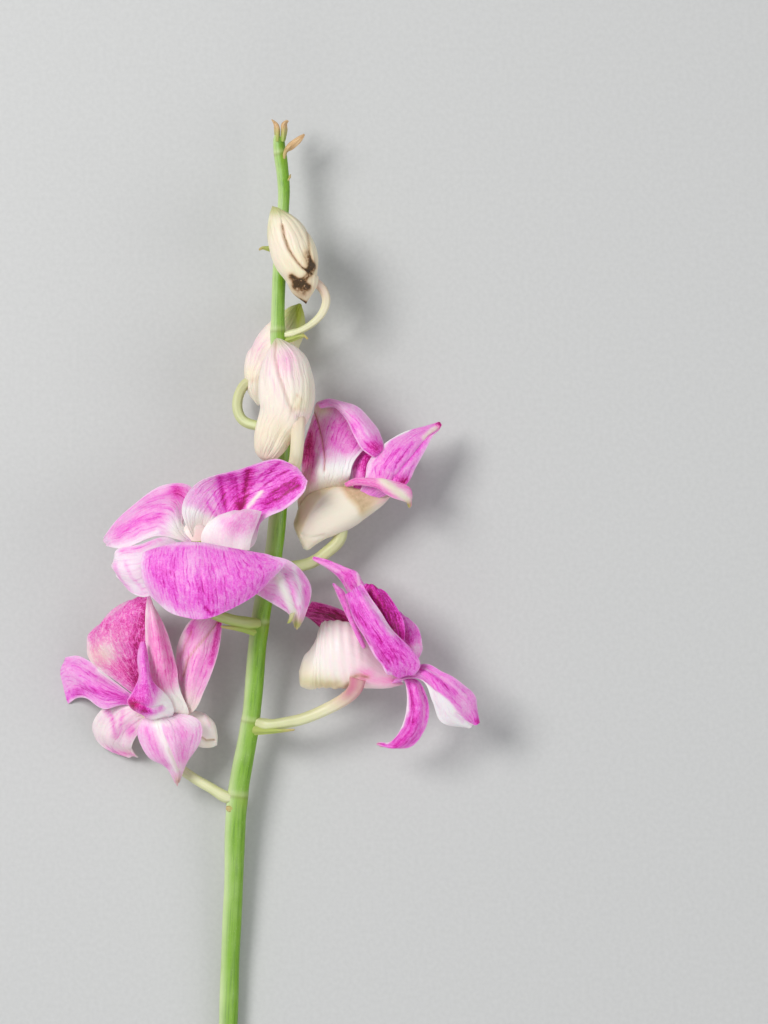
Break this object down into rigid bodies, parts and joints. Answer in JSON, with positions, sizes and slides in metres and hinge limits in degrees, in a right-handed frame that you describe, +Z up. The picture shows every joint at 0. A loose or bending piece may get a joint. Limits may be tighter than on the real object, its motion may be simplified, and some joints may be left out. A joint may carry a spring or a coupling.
{
  "type": "orchid flower stem",
  "caption": "Cut orchid flower stem lying on its side, with open magenta blooms, closed cream buds on curved pedicels and a bare green tip.",
  "frame": {"origin": "on the surface that the stem lies on, under the middle of its bounding box", "axes": "+Y along the stalk from the cut end to the tip, +Z up from the surface, towards the viewer of the picture"},
  "size_m": [0.1062, 0.2506, 0.0429],
  "materials": {
    "stem": "smooth green stalk, satin",
    "pedicel": "pale green to cream, satin",
    "bud": "cream with lilac veins, satin",
    "mentum": "cream white, ribbed, satin",
    "column": "pale pink, waxy",
    "petal": "magenta with darker veins, soft sheen",
    "sepal": "pink to white with magenta veins",
    "lip": "deep magenta, soft sheen",
    "bract": "dry straw coloured scale, matt"
  },
  "bodies": {
    "root": {"bloom_1_back_sepal": "sepal", "bloom_1_column": "column", "bloom_1_left_petal": "petal", "bloom_1_lip": "lip", "bloom_1_lower_sepal": "sepal", "bloom_1_mentum": "mentum", "bloom_1_pedicel": "pedicel", "bloom_1_right_petal": "petal", "bloom_1_side_sepal": "sepal", "bloom_2_bract": "bract", "bloom_2_column": "column", "bloom_2_far_petal": "petal", "bloom_2_front_petal": "petal", "bloom_2_left_sepal": "sepal", "bloom_2_lip": "lip", "bloom_2_lower_sepal": "sepal", "bloom_2_mentum": "mentum", "bloom_2_pedicel": "pedicel", "bloom_2_right_sepal": "sepal", "bloom_3_bract": "bract", "bloom_3_column": "column", "bloom_3_left_sepal": "sepal", "bloom_3_lip": "lip", "bloom_3_lower_front_sepal": "sepal", "bloom_3_lower_left_sepal": "sepal", "bloom_3_mentum": "mentum", "bloom_3_middle_petal": "petal", "bloom_3_pedicel": "pedicel", "bloom_3_right_petal": "petal", "bloom_3_upper_petal": "petal", "bloom_4_back_petal": "petal", "bloom_4_bract": "bract", "bloom_4_column": "column", "bloom_4_curling_sepal": "sepal", "bloom_4_left_petal": "petal", "bloom_4_lip": "lip", "bloom_4_lower_right_sepal": "sepal", "bloom_4_main_petal": "petal", "bloom_4_mentum": "mentum", "bloom_4_pedicel": "pedicel", "bloom_4_side_lobe": "lip", "bloom_4_top_sepal": "sepal", "bud_1": "bud", "bud_1_bract": "bract", "bud_1_pedicel": "pedicel", "bud_2": "bud", "bud_2_pedicel": "pedicel", "bud_3": "bud", "bud_3_pedicel": "pedicel", "left_hook_bract": "bract", "right_hook_bract": "bract", "stem": "stem", "tip_left_bract": "bract", "tip_right_bract": "bract", "tip_side_bract": "bract"}
  },
  "joints": []
}
